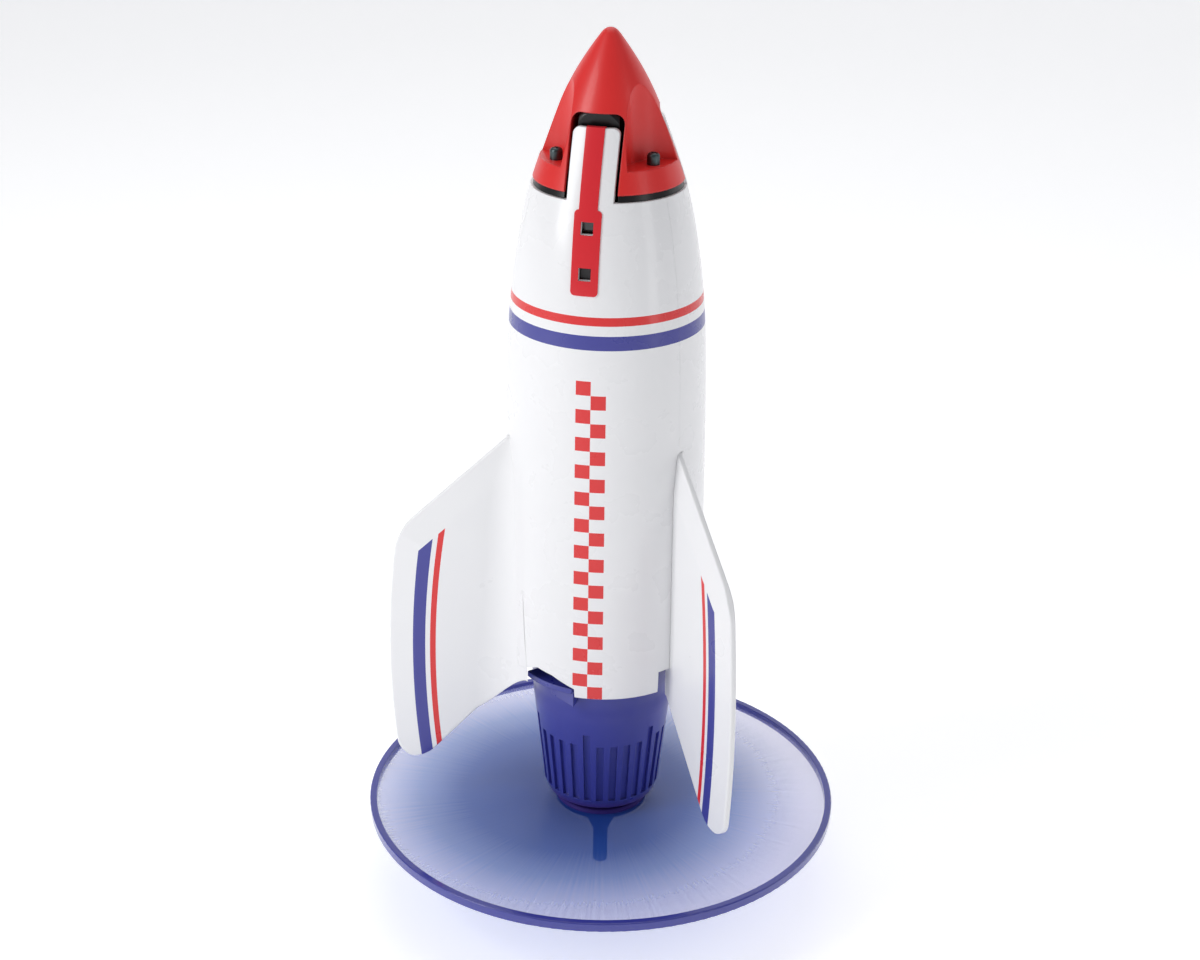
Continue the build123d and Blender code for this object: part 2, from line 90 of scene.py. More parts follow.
def add(tree, kind, inputs=None, **settings):
    """Adds a node with its settings; inputs maps a socket to a value, an output or a node's first output."""
    node = tree.nodes.new(kind)
    for name, value in settings.items():
        setattr(node, name, value)
    for socket, value in (inputs or {}).items():
        if isinstance(value, bpy.types.Node):
            value = value.outputs[0]
        if isinstance(value, bpy.types.NodeSocket):
            tree.links.new(value, node.inputs[socket])
        else:
            node.inputs[socket].default_value = value
    return node


def between(tree, value, low, high):
    """1 where the value lies between two limits and 0 elsewhere."""
    above = add(tree, MATH, {0: value, 1: low}, operation="GREATER_THAN")
    below = add(tree, MATH, {0: value, 1: high}, operation="LESS_THAN")
    return add(tree, MATH, {0: above, 1: below}, operation="MULTIPLY")


def new_material(name):
    """An empty node material with its shader and output."""
    material = bpy.data.materials.new(name)
    material.use_nodes = True
    tree = material.node_tree
    tree.nodes.clear()
    shader = add(tree, "ShaderNodeBsdfPrincipled")
    add(tree, "ShaderNodeOutputMaterial", {"Surface": shader})
    return material, tree, shader


def grain(tree, shader, size_mm, height_mm, edge_mm=0.25, spread=0.04, roughness=0.3):
    """Surface texture of a given grain size: bump on softened edges and a little roughness variation."""
    place = add(tree, PLACE).outputs["Object"]
    noise = add(tree, NOISE, {"Vector": place, "Scale": 1.0 / (size_mm * MM), "Detail": 3.0})
    edge = add(tree, BEVEL, {"Radius": edge_mm * MM}, samples=4)
    bump = add(tree, BUMP, {"Strength": 1.0, "Distance": height_mm * MM, "Height": noise, "Normal": edge})
    tree.links.new(bump.outputs[0], shader.inputs["Normal"])
    clouds = add(tree, NOISE, {"Vector": place, "Scale": 70.0, "Detail": 4.0})
    span = add(tree, SPAN, {"Value": clouds, "From Min": 0.3, "From Max": 0.7,
                            "To Min": roughness - spread, "To Max": roughness + spread})
    tree.links.new(span.outputs[0], shader.inputs["Roughness"])
    return place


def tinted(tree, place, colour, amount=0.06, scale=45.0):
    """The colour with faint lighter and darker clouds, as moulded resin has."""
    clouds = add(tree, NOISE, {"Vector": place, "Scale": scale, "Detail": 3.0})
    darker = tuple(c * (1 - amount) for c in colour[:3]) + (1.0,)
    return add(tree, MIX, {"Factor": clouds, 6: colour, 7: darker}, data_type="RGBA").outputs[2]


def plastic(name, colour, roughness=0.3, size_mm=0.5, height_mm=0.004, coat=0.0, edge_mm=0.3, scatter=0.0,
            clouds=0.06, prints=None):
    """Injection-moulded plastic: fine grain, softened edges, faint colour clouds and an optional gloss coat.

    prints is a function of the tree, the colour so far and the place that gives the colour with its prints.
    """
    material, tree, shader = new_material(name)
    place = grain(tree, shader, size_mm, height_mm, edge_mm, 0.03, roughness)
    base = tinted(tree, place, linear(colour) if isinstance(colour, str) else tuple(colour), clouds)
    if prints:
        base = prints(tree, base, place)
    tree.links.new(base, shader.inputs["Base Color"])
    shader.inputs["IOR"].default_value = 1.5
    shader.inputs["Coat Weight"].default_value = coat
    shader.inputs["Coat Roughness"].default_value = 0.06
    if scatter:
        shader.inputs["Subsurface Weight"].default_value = scatter
        shader.inputs["Subsurface Radius"].default_value = (1.0, 0.9, 0.8)
        shader.inputs["Subsurface Scale"].default_value = 0.8 * MM
    return material


# ---------------------------------------------------------------- sizes and colours a user would change

class RocketSizes(bpy.types.PropertyGroup):
    """Sizes of the pieces that are worked out here."""

    fin_lean: FloatProperty(name="Fin lean", description="How far a fin leans off the radius",
                            default=math.radians(20.0), subtype="ANGLE")
    fin_thickness: FloatProperty(name="Fin thickness", description="Thickness of a fin inside its bevels",
                                 default=4.4 * MM, unit="LENGTH")
    fin_rim: FloatProperty(name="Fin rim", description="Thickness of a fin at its edge",
                           default=1.8 * MM, unit="LENGTH")
    fin_bevel: FloatProperty(name="Fin bevel", description="Width of a fin's two bevels",
                             default=8.2 * MM, unit="LENGTH")
    root_flare: FloatProperty(name="Root flare", description="Reach of the hollow curve at a root's foot",
                              default=10.0 * MM, unit="LENGTH")
    checks: IntProperty(name="Checks", description="Rows of the checkered strip", default=24)
    check_height: FloatProperty(name="Check height", description="Height of one row of checks",
                                default=4.27 * MM, unit="LENGTH")
    folds: IntProperty(name="Canopy folds", description="Folds round the packed parachute", default=14)


class RocketColours(bpy.types.PropertyGroup):
    """Colours of the printed and moulded pieces."""

    shell: FloatVectorProperty(name="Shell", description="White of the body and fins", size=4,
                               default=linear("#f4f4f5"), subtype="COLOR", min=0, max=1)
    print_red: FloatVectorProperty(name="Print red", description="Red of the stripes and checks", size=4,
                                   default=linear("#e32a2c"), subtype="COLOR", min=0, max=1)
    print_blue: FloatVectorProperty(name="Print blue", description="Blue of the stripes", size=4,
                                    default=linear("#3f4199"), subtype="COLOR", min=0, max=1)


# ---------------------------------------------------------------- finishes

def body_prints(tree, colour, place):
    """Lays the checkered strip and the two bands round the body over its colour."""
    colours, sizes = bpy.context.scene.rocket_colours, bpy.context.scene.rocket_sizes
    check_top, check_centre, check_width = 168.5 * MM, 5.5, 8.5
    red_band, blue_band = (184.8 * MM, 187.3 * MM), (177.7 * MM, 181.9 * MM)
    axes = add(tree, AXES, {0: place}).outputs
    height = axes[2]
    back = add(tree, MATH, {0: axes[1], 1: -1.0}, operation="MULTIPLY")
    radians = add(tree, MATH, {0: axes[0], 1: back}, operation="ARCTAN2")
    azimuth = add(tree, MATH, {0: radians}, operation="DEGREES")

    drop = add(tree, MATH, {0: check_top, 1: height}, operation="SUBTRACT")
    rows_down = add(tree, MATH, {0: drop, 1: sizes.check_height}, operation="DIVIDE")
    past_edge = add(tree, MATH, {0: azimuth, 1: check_centre - check_width}, operation="SUBTRACT")
    columns = add(tree, MATH, {0: past_edge, 1: check_width}, operation="DIVIDE")
    row, column = (add(tree, MATH, {0: share}, operation="FLOOR") for share in (rows_down, columns))
    both = add(tree, MATH, {0: row, 1: column}, operation="ADD")
    odd = add(tree, MATH, {0: both, 1: 2.0}, operation="MODULO")
    even = add(tree, MATH, {0: odd, 1: 0.5}, operation="LESS_THAN")
    inside = add(tree, MATH, {0: between(tree, rows_down, 0.0, float(sizes.checks)),
                              1: between(tree, columns, 0.0, 2.0)}, operation="MULTIPLY")
    checks = add(tree, MATH, {0: even, 1: inside}, operation="MULTIPLY")
    red = add(tree, MATH, {0: checks, 1: between(tree, height, *red_band)}, operation="MAXIMUM")
    for mask, ink in ((red, colours.print_red), (between(tree, height, *blue_band), colours.print_blue)):
        colour = add(tree, MIX, {"Factor": mask, 6: colour, 7: ink}, data_type="RGBA").outputs[2]
    return colour


def printed_abs(name="pad_printed_abs"):
    """White ABS shell, injection-moulded and polished, with pad-printed stripes and checks: a satin gloss."""
    shell = bpy.context.scene.rocket_colours.shell
    return plastic(name, shell, 0.28, 0.6, 0.002, 0.25, clouds=0.01, prints=body_prints)


def painted_cup_underside_shade(tree, colour, place):
    """Lays a darker, redder violet over the cup's colour where its wall turns under, as painted shade on its
    underside.
    """
    height = add(tree, AXES, {0: place}).outputs[2]
    # painted shade: the violet deepens from 21.5 mm down to 18 mm, where the cup turns under
    foot = add(tree, SPAN, {"Value": height, "From Min": 21.5 * MM, "From Max": 18.0 * MM})
    return add(tree, MIX, {"Factor": foot, 6: colour, 7: linear("#4a2a82")}, data_type="RGBA").outputs[2]


def violet_polypropylene(name="violet_polypropylene"):
    """Moulded polypropylene, a waxy half gloss with a little light inside it."""
    # its prints add painted shade where the cup's wall turns under
    return plastic(name, "#3a3f9c", 0.3, 0.7, 0.004, 0.2, 0.35, 0.15, prints=painted_cup_underside_shade)


def fin_prints(tree, colour, place):
    """Lays two stripes that follow the outer edge over a fin's colour; its UV map is millimetres / 100."""
    colours = bpy.context.scene.rocket_colours
    uv_mm, stripes_from = 100.0, 8.8
    axes = add(tree, AXES, {0: add(tree, PLACE).outputs["UV"]}).outputs
    from_outer, from_lead = (add(tree, MATH, {0: axis, 1: uv_mm}, operation="MULTIPLY") for axis in axes[:2])
    past_bevel = add(tree, MATH, {0: from_lead, 1: stripes_from}, operation="GREATER_THAN")
    for low, high, ink in ((7.5, 11.4, colours.print_blue), (12.9, 14.7, colours.print_red)):
        band = between(tree, from_outer, low, high)
        stripe = add(tree, MATH, {0: band, 1: past_bevel}, operation="MULTIPLY")
        colour = add(tree, MIX, {"Factor": stripe, 6: colour, 7: ink}, data_type="RGBA").outputs[2]
    return colour


def striped_fin_abs(name="striped_fin_abs"):
    """White ABS plate with printed stripes, a shade less glossy than the shell."""
    shell = bpy.context.scene.rocket_colours.shell
    return plastic(name, shell, 0.3, 0.6, 0.002, 0.2, 0.2, clouds=0.01, prints=fin_prints)


def blurred_rotor_film(name="tinted_polycarbonate_film"):
    """Tinted polycarbonate film: deep blue and denser by the hub, paler and clearer outwards, with rays.

    The tint's middle is moved a little towards the front left: painted shade on that side of the disc and
    painted light on its right.
    """
    material, tree, shader = new_material(name)
    place = grain(tree, shader, 3.0, 0.001, 0.1, 0.02, 0.4)
    painted_shade_middle, tint_from, tint_to, ray_swing = (-7.5 * MM, -1.5 * MM, 0.0), 14 * MM, 88 * MM, 9.0 * MM
    axes = add(tree, AXES, {0: place}).outputs
    flat = add(tree, "ShaderNodeCombineXYZ", {0: axes[0], 1: axes[1]})
    # painted shade: the tint is centred a little to the front left of the axis, so that side is darker and
    # the right is lighter
    moved = add(tree, "ShaderNodeVectorMath", {0: flat, 1: painted_shade_middle}, operation="SUBTRACT")
    radius = add(tree, "ShaderNodeVectorMath", {0: moved}, operation="LENGTH").outputs["Value"]
    azimuth = add(tree, MATH, {0: axes[0], 1: axes[1]}, operation="ARCTAN2")
    rays = add(tree, NOISE, {"W": azimuth.outputs[0], "Scale": 55.0, "Detail": 4.0}, noise_dimensions="1D")
    level = add(tree, MATH, {0: rays, 1: 0.5}, operation="SUBTRACT")
    wobble = add(tree, MATH, {0: level, 1: ray_swing}, operation="MULTIPLY")
    streaked = add(tree, MATH, {0: radius, 1: wobble}, operation="ADD")
    span = add(tree, SPAN, {"Value": streaked, "From Min": tint_from, "From Max": tint_to})
    ramp = add(tree, "ShaderNodeValToRGB", {"Fac": span})
    # share of the way out, colour and cover
    stops = (
        (0.0, "#1c4aa4", 0.75),
        (0.31, "#2f5cb2", 0.68),
        (0.5, "#6183ca", 0.54),
        (0.66, "#9ba7de", 0.4),
        (0.81, "#bcbbea", 0.3),
        (1.0, "#c6c4ee", 0.27),
    )
    for share, _, _ in stops[1:-1]:
        ramp.color_ramp.elements.new(share)
    for element, (_, shade, cover) in zip(ramp.color_ramp.elements, stops):
        element.color = linear(shade)[:3] + (cover,)
    tree.links.new(ramp.outputs["Color"], shader.inputs["Base Color"])
    tree.links.new(ramp.outputs["Alpha"], shader.inputs["Alpha"])
    shader.inputs["IOR"].default_value = 1.4
    return material


def metal(name, hex_colour, roughness, grain_mm=0.2, stretch=1.0):
    """Bare metal with drawn or turned lines across the axis."""
    material, tree, shader = new_material(name)
    place = add(tree, PLACE).outputs["Object"]
    mapped = add(tree, "ShaderNodeMapping", {"Vector": place, "Scale": (1.0, 1.0, stretch)})
    lines = add(tree, NOISE, {"Vector": mapped, "Scale": 1.0 / (grain_mm * MM), "Detail": 4.0})
    span = add(tree, SPAN, {"Value": lines, "To Min": roughness - 0.1, "To Max": roughness + 0.12})
    edge = add(tree, BEVEL, {"Radius": 0.2 * MM}, samples=4)
    bump = add(tree, BUMP, {"Strength": 0.5, "Distance": 0.01 * MM, "Height": lines, "Normal": edge})
    tree.links.new(span.outputs[0], shader.inputs["Roughness"])
    tree.links.new(bump.outputs[0], shader.inputs["Normal"])
    shader.inputs["Base Color"].default_value = linear(hex_colour)
    shader.inputs["Metallic"].default_value = 1.0
    return material


def ripstop_nylon(name="ripstop_nylon"):
    """Plain-woven nylon with a thicker thread every 4 mm: faint squares, a soft sheen along the folds."""
    material, tree, shader = new_material(name)
    place = add(tree, PLACE).outputs["UV"]
    thread, cord_pitch, cord_share = 0.5 * MM, 4.0 * MM, 0.12
    weave = add(tree, "ShaderNodeTexChecker", {"Vector": place, "Scale": 1.0 / thread})
    cords = []
    for axis in add(tree, AXES, {0: place}).outputs[:2]:
        pitches = add(tree, MATH, {0: axis, 1: cord_pitch}, operation="DIVIDE")
        phase = add(tree, MATH, {0: pitches}, operation="FRACT")
        cords.append(add(tree, MATH, {0: phase, 1: cord_share}, operation="LESS_THAN"))
    cord = add(tree, MATH, {0: cords[0], 1: cords[1]}, operation="MAXIMUM")
    raised = add(tree, MATH, {0: cord, 1: 2.0}, operation="MULTIPLY")
    relief = add(tree, MATH, {0: weave.outputs["Fac"], 1: raised}, operation="ADD")
    bump = add(tree, BUMP, {"Strength": 0.6, "Distance": 0.08 * MM, "Height": relief})
    paler = add(tree, MATH, {0: cord, 1: 0.35}, operation="MULTIPLY")
    colour = add(tree, MIX, {"Factor": paler, 6: linear("#e0601f"), 7: linear("#f6a368")}, data_type="RGBA")
    tree.links.new(colour.outputs[2], shader.inputs["Base Color"])
    tree.links.new(bump.outputs[0], shader.inputs["Normal"])
    shader.inputs["Roughness"].default_value = 0.55
    shader.inputs["Sheen Weight"].default_value = 0.4
    return material


def wound_card(name="wound_card"):
    """Spiral-wound card tube: dull buff paper with the joins of its strip every 22 mm."""
    material, tree, shader = new_material(name)
    place = grain(tree, shader, 0.4, 0.03, 0.1, 0.05, 0.75)
    strip, join_share = 22.0 * MM, 0.02
    axes = add(tree, AXES, {0: place}).outputs
    radians = add(tree, MATH, {0: axes[1], 1: axes[0]}, operation="ARCTAN2")
    turn = add(tree, MATH, {0: radians, 1: 2 * math.pi}, operation="DIVIDE")
    strips_up = add(tree, MATH, {0: axes[2], 1: strip}, operation="DIVIDE")
    wound = add(tree, MATH, {0: strips_up, 1: turn}, operation="ADD")
    phase = add(tree, MATH, {0: wound}, operation="FRACT")
    join = add(tree, MATH, {0: phase, 1: join_share}, operation="LESS_THAN")
    colour = tinted(tree, place, linear("#cbbd9f"), 0.15, 120.0)
    colour = add(tree, MIX, {"Factor": join, 6: colour, 7: linear("#8d7f63")}, data_type="RGBA").outputs[2]
    tree.links.new(colour, shader.inputs["Base Color"])
    return material


# ---------------------------------------------------------------- surfaces

def grid_faces(rows, columns, closed_columns=True):
    """Quads of a rows x columns grid of points, wrapped round in the column direction if closed."""
    steps = columns if closed_columns else columns - 1
    row, column = np.meshgrid(np.arange(rows - 1), np.arange(steps), indexing="ij")
    here, above = row * columns, (row + 1) * columns
    nxt = (column + 1) % columns
    return np.stack([here + column, here + nxt, above + nxt, above + column], axis=-1).reshape(-1, 4)


def shape_object(name, points, faces, material, uv=None, sharp=None):
    """A mesh object at the origin from an array of points and lists of faces, shaded smooth."""
    mesh = bpy.data.meshes.new(name)
    mesh.from_pydata(points.tolist(), [], [list(map(int, face)) for face in faces])
    mesh.polygons.foreach_set("use_smooth", np.ones(len(mesh.polygons), dtype=bool))
    if uv is not None:
        layer = mesh.uv_layers.new(name="UVMap")
        index = np.empty(len(mesh.loops), dtype=np.int32)
        mesh.loops.foreach_get("vertex_index", index)
        layer.data.foreach_set("uv", uv[index].astype(np.float32).ravel())
    if sharp is not None:
        mesh.set_sharp_from_angle(angle=math.radians(sharp))
    mesh.materials.append(material)
    piece = bpy.data.objects.new(name, mesh)
    bpy.context.scene.collection.objects.link(piece)
    return piece


def round_both(a, b, radius):
    """Depth inside both of two edges (a and b are depths inside each) with their corner rounded."""
    u, v = np.maximum(radius - a, 0.0), np.maximum(radius - b, 0.0)
    return np.maximum(radius, np.minimum(a, b)) - np.hypot(u, v)


class FinShape:
    """A fin in its own plane, in metres: s runs outwards from the root and z runs up."""

    def __init__(self, node):
        low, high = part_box(node)
        self.base = low[2]
        self.tall = high[2] - low[2]
        # corners worked from the fin's height, which is 113.3 mm from the heel to the top of the root
        unit = self.tall / 113.3
        self.unit = unit
        self.top = (-1.5 * unit, self.base + 113.3 * unit)
        self.corner = (34.1 * unit, self.base + 79.3 * unit)
        self.belly = (37.3 * unit, self.base + 43.0 * unit)
        self.heel = (35.4 * unit, self.base)
        self.toe = (27.4 * unit, self.base)
        self.root_low = (-1.5 * unit, self.base + 32.0 * unit)
        self.centre, self.radius = circle_through(self.corner, self.belly, self.heel)

    def depths(self, s, z):
        """Depth inside the leading edge, the outer arc and the whole outline (rounded where edges meet)."""
        unit = self.unit
        lead = line_depth(self.top, self.corner, s, z)
        outer = self.radius - np.hypot(s - self.centre[0], z - self.centre[1])
        low = line_depth(self.toe, self.root_low, s, z)
        whole = round_both(lead, outer, 4.0 * unit)
        whole = round_both(whole, z - self.base, 5.8 * unit)
        whole = round_both(whole, low, 4.0 * unit)
        return lead, outer, np.minimum(whole, s - self.top[0])


def circle_through(a, b, c):
    """Centre and radius of the circle through three points, from the perpendicular bisectors."""
    (ax, ay), (bx, by), (cx, cy) = a, b, c
    d = 2 * (ax * (by - cy) + bx * (cy - ay) + cx * (ay - by))
    a2, b2, c2 = ax * ax + ay * ay, bx * bx + by * by, cx * cx + cy * cy
    x = (a2 * (by - cy) + b2 * (cy - ay) + c2 * (ay - by)) / d
    y = (a2 * (cx - bx) + b2 * (ax - cx) + c2 * (bx - ax)) / d
    return (x, y), math.hypot(ax - x, ay - y)


def line_depth(start, end, s, z):
    """Distance of points from the line start-end, positive on its right-hand side."""
    run = np.array(end) - np.array(start)
    run = run / np.hypot(*run)
    return (s - start[0]) * run[1] - (z - start[1]) * run[0]


def fin_points(fin, spokes=560):
    """Rings of points from the rim to the middle of a fin.

    Each spoke leaves the middle at its own angle and ends where the depth inside the outline is 0, found by
    halving.  The rings lie at set fractions of the spokes, closest together at the rim.
    """
    middle = (16.0 * fin.unit, fin.base + 56.0 * fin.unit)
    halvings, inner_rings = 40, 56
    angle = np.linspace(0, 2 * math.pi, spokes, endpoint=False)
    near, far = np.zeros(spokes), np.full(spokes, fin.tall)
    for _ in range(halvings):
        half = (near + far) / 2
        outside = fin.depths(middle[0] + half * np.cos(angle), middle[1] + half * np.sin(angle))[2] < 0
        far, near = np.where(outside, half, far), np.where(outside, near, half)
    rim = np.array([1, 0.9985, 0.996, 0.993, 0.988, 0.98])
    share = np.concatenate([rim, np.linspace(0.965, 0.03, inner_rings)])[:, None]
    return middle[0] + share * near * np.cos(angle), middle[1] + share * near * np.sin(angle)


def root_curve(share, reach, half, z):
    """The hollow curve from a fin's face to the body: distance out from the root and off the middle plane.

    It is a quadratic Bezier curve.  It starts on the face, a reach out from the root, is drawn towards the
    corner of face and body, and ends a reach off the face, sunk a little into the body.  The body's surface
    lies inwards of the root by its tangent's slope times the distance off the plane, plus that distance
    squared over the body's diameter.
    """
    body_r = np.interp(z, BODY_HEIGHTS, BODY_RADII)
    lean = bpy.context.scene.rocket_sizes.fin_lean
    sunk = 0.6 * MM

    def on_body(off):
        return (body_r - ROOT_R - math.sin(lean) * off - off ** 2 / (2 * body_r)) / math.cos(lean)

    end_n = half + reach
    end_s = on_body(end_n) - sunk
    start, middle, end = (1 - share) ** 2, 2 * share * (1 - share), share ** 2
    return start * reach + middle * on_body(half) + end * end_s, (start + middle) * half + end * end_n


def fin_piece(side, material):
    """A raked fin with bevels on its leading and outer edges, a rounded rim and a flared root.

    Half the thickness at a point is the rim's half plus the bevel's slope times the depth inside the nearer
    bevelled edge, less a quarter-round at the rim.  On the open side the root runs out on to the body in a
    curve whose reach grows down the root, after an eased start at its top.
    """
    sizes = bpy.context.scene.rocket_sizes
    node = "fin_" + side
    # rounding between the two bevels, quarter-round at the rim, height of the flare's flat foot
    soft, turn, foot = 1.2 * MM, 0.55 * MM, 66.5 * MM
    # share of the flare's reach at the root's top, and how quickly it eases in there
    top_share, ease = 0.35, 7.0
    fin = FinShape(node)
    s, z = fin_points(fin)
    lead, outer, whole = fin.depths(s, z)
    nearer = round_both(lead, outer, soft)
    ramp = np.clip(nearer / sizes.fin_bevel, 0, 1)
    half = sizes.fin_rim / 2 + ramp * (sizes.fin_thickness - sizes.fin_rim) / 2
    depth = np.clip(np.minimum(whole, turn), 0, turn)
    half = half - turn + np.sqrt(np.clip(turn ** 2 - (turn - depth) ** 2, 0, None))
    root_side = s < fin.top[0] + turn
    half = np.where(root_side, sizes.fin_thickness / 2, half)

    down = np.clip((fin.top[1] - z) / (fin.top[1] - fin.root_low[1]), 0, 1)
    fade = np.clip(down * ease, 0, 1)
    reach = sizes.root_flare * (top_share + (1 - top_share) * down) * fade * fade * (3 - 2 * fade)
    turn_in = np.clip((reach - s) / (reach - fin.top[0]), 0, 1)
    flare_s, flare_n = root_curve(turn_in, reach, half, z)
    open_s = np.where(turn_in > 0, flare_s, s)
    open_n = np.where(turn_in > 0, flare_n, half)
    open_z = z + np.clip(foot - z, 0, None) * turn_in ** 2

    azimuth = math.radians(FIN_AZIMUTHS[side])
    lean = azimuth - sizes.fin_lean
    root = np.array([ROOT_R * math.sin(azimuth), -ROOT_R * math.cos(azimuth), 0])
    out_dir = np.array([math.sin(lean), -math.cos(lean), 0])
    open_dir = np.array([math.cos(lean), math.sin(lean), 0])
    rings, spokes = s.shape
    up_dir = np.array([0, 0, 1.0])
    flat = root + s[..., None] * out_dir + z[..., None] * up_dir
    open_face = root + open_s[..., None] * out_dir + open_n[..., None] * open_dir + open_z[..., None] * up_dir
    shut_face = flat - half[..., None] * open_dir
    count = rings * spokes
    points = np.concatenate([open_face.reshape(-1, 3), shut_face.reshape(-1, 3)])
    inner = grid_faces(rings, spokes)
    faces = [inner, inner[:, ::-1] + count]
    rim = np.arange(spokes)
    nxt = (rim + 1) % spokes
    faces.append(np.stack([rim, rim + count, nxt + count, nxt], axis=-1))
    last_ring = (rings - 1) * spokes
    caps = [list(last_ring + rim), list(last_ring + count + rim[::-1])]
    faces = [list(face) for block in faces for face in block] + caps
    uv_per_metre = 10.0
    uv = np.stack([outer, lead], axis=-1).reshape(-1, 2) * uv_per_metre
    piece = shape_object(f"fin_{side}_plate", points, faces, material, np.concatenate([uv, uv]))
    point_outwards(piece)
    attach(piece, "airframe")
    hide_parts(node)
    return piece


def point_outwards(piece):
    """Turns every face of a closed mesh outwards."""
    shape = bmesh.new()
    shape.from_mesh(piece.data)
    bmesh.ops.recalc_face_normals(shape, faces=shape.faces)
    shape.to_mesh(piece.data)
    shape.free()


def packed_canopy(material):
    """The folded parachute: a round pad whose side and top rise and fall in uneven folds.

    The profile is a superellipse of height against radius.  Its radius is scaled by a sum of sines of the
    angle, each with its own phase that drifts with height, so that the folds lean and merge.
    """
    sizes = bpy.context.scene.rocket_sizes
    low, high = (np.array(corner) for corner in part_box("parachute_pack"))
    centre, half = (low + high) / 2, (high - low) / 2
    rows, columns, power, fold_depth = 90, 240, 0.35, 0.055
    tilt = np.linspace(-math.pi / 2, math.pi / 2, rows)[:, None]
    turn = np.linspace(0, 2 * math.pi, columns, endpoint=False)[None, :]
    across = np.abs(np.cos(tilt)) ** power
    up = np.sign(np.sin(tilt)) * np.abs(np.sin(tilt)) ** power
    folds = (0.55 * np.sin(sizes.folds * turn + 2.4 * up) + 0.3 * np.sin(9 * turn - 3.1 * up + 1.0)
             + 0.25 * np.sin(23 * turn + 5.0 * up))
    depth = fold_depth * (1 - np.abs(folds) ** 0.6)
    radius = half[0] * across * (1 - depth)
    swing, margin = 0.9 * MM, 1.0 * MM
    ripple = swing * np.sin(5 * turn + 9 * across) * across * (1 - across ** 6)
    height = centre[2] + (half[2] - margin) * up + ripple
    points = np.stack([centre[0] + radius * np.cos(turn), centre[1] + radius * np.sin(turn), height], axis=-1)
    faces = [list(face) for face in grid_faces(rows, columns)]
    around = np.arange(columns)
    faces += [list(around[::-1]), list((rows - 1) * columns + around)]
    uv = np.stack([np.broadcast_to(turn * half[0], points.shape[:2]), height], axis=-1).reshape(-1, 2)
    piece = shape_object("folded_canopy", points.reshape(-1, 3), faces, material, uv)
    point_outwards(piece)
    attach(piece, "airframe")
    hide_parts("parachute_pack")
    return piece


def rotor_blades(material, vanes=9):
    """The rotor's film as it looks when it turns: one thin disc whose nine vanes are shallow waves.

    Height is the middle of the hoop plus a sine of nine turns of the azimuth; the sine's swing grows in step
    with the radius.  The top and underside lie half the film's thickness above and below it.
    """
    ring_low, ring_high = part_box("rotor_ring")
    # the film starts inside the hub and ends inside the hoop
    inner, outer = 13.8 * MM, ring_high[0] - 2.15 * MM
    middle = (ring_low[2] + ring_high[2]) / 2
    half_thick, swing = 0.15 * MM, 0.3 * MM
    rows, columns = 60, 540
    radius = np.linspace(inner, outer, rows)[:, None]
    turn = np.linspace(0, 2 * math.pi, columns, endpoint=False)[None, :]
    height = middle + swing * (radius - inner) / (outer - inner) * np.sin(vanes * turn)
    sheet = np.stack([radius * np.sin(turn), -radius * np.cos(turn), height], axis=-1).reshape(-1, 3)
    count = rows * columns
    face = grid_faces(rows, columns)
    first = np.arange(columns)
    last = (rows - 1) * columns + first
    edges = [np.stack([edge, np.roll(edge, -1), np.roll(edge, -1) + count, edge + count], axis=-1)
             for edge in (first, last)]
    faces = np.concatenate([face, face[:, ::-1] + count, *edges])
    points = np.concatenate([sheet + (0, 0, half_thick), sheet - (0, 0, half_thick)])
    piece = shape_object("film_blades", points, faces.tolist(), material, sharp=50)
    point_outwards(piece)
    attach(piece, "rotor")
    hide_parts("rotor_blades")


# ---------------------------------------------------------------- operators

def dress(material, *nodes):
    """Gives CAD nodes a finish."""
    for name in nodes:
        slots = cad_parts[name].data.materials
        slots.clear()
        slots.append(material)


class ROCKET_OT_airframe(bpy.types.Operator):
    """Finishes the body shells, their printed trim and what shows in the windows"""

    bl_idname = "rocket.airframe"
    bl_label = "Body shells"

    def execute(self, context):
        dress(printed_abs(), "body_panel_front", "body_panel_right_rear", "body_panel_left_rear")
        # a bright, nearly smooth film pressed on to the shell
        dress(plastic("hot_foil_red", "#e02630", 0.22, 0.8, 0.002, 0.4, 0.1), "front_trim")
        # a black lens with one sharp highlight
        dress(plastic("smoked_acrylic", "#0b0b0e", 0.08, 2.0, 0.001, 0.6), "status_lamp")
        # a finely pitted black that hardly shines
        dress(plastic("spark_eroded_black_abs", "#17171a", 0.5, 0.15, 0.02), "power_button")
        return {"FINISHED"}


class ROCKET_OT_fins(bpy.types.Operator):
    """Makes the three raked fins"""

    bl_idname = "rocket.fins"
    bl_label = "Fins"

    def execute(self, context):
        material = striped_fin_abs()
        for side in FIN_AZIMUTHS:
            fin_piece(side, material)
        return {"FINISHED"}


class ROCKET_OT_nose(bpy.types.Operator):
    """Finishes the nose, its collar, screws and tether eye"""

    bl_idname = "rocket.nose"
    bl_label = "Nose"

    def execute(self, context):
        # a broad soft highlight down each side
        dress(plastic("satin_red_abs", "#e42a28", 0.36, 0.5, 0.004, 0.1, 0.5), "nose_cone")
        # a plain moulded black that only shows as a dark line in the gap
        dress(plastic("black_abs", "#09090b", 0.3, 2.0, 0.001, 0.0, 0.3), "nose_collar")
        # dark steel with a faint turned sparkle
        dress(metal("blackened_steel", "#4f5a5c", 0.35), "nose_screws", "clamp_screws")
        # a slippery grey with a dull shine
        dress(plastic("acetal_grey", "#6c6f73", 0.4), "tether_eye")
        return {"FINISHED"}


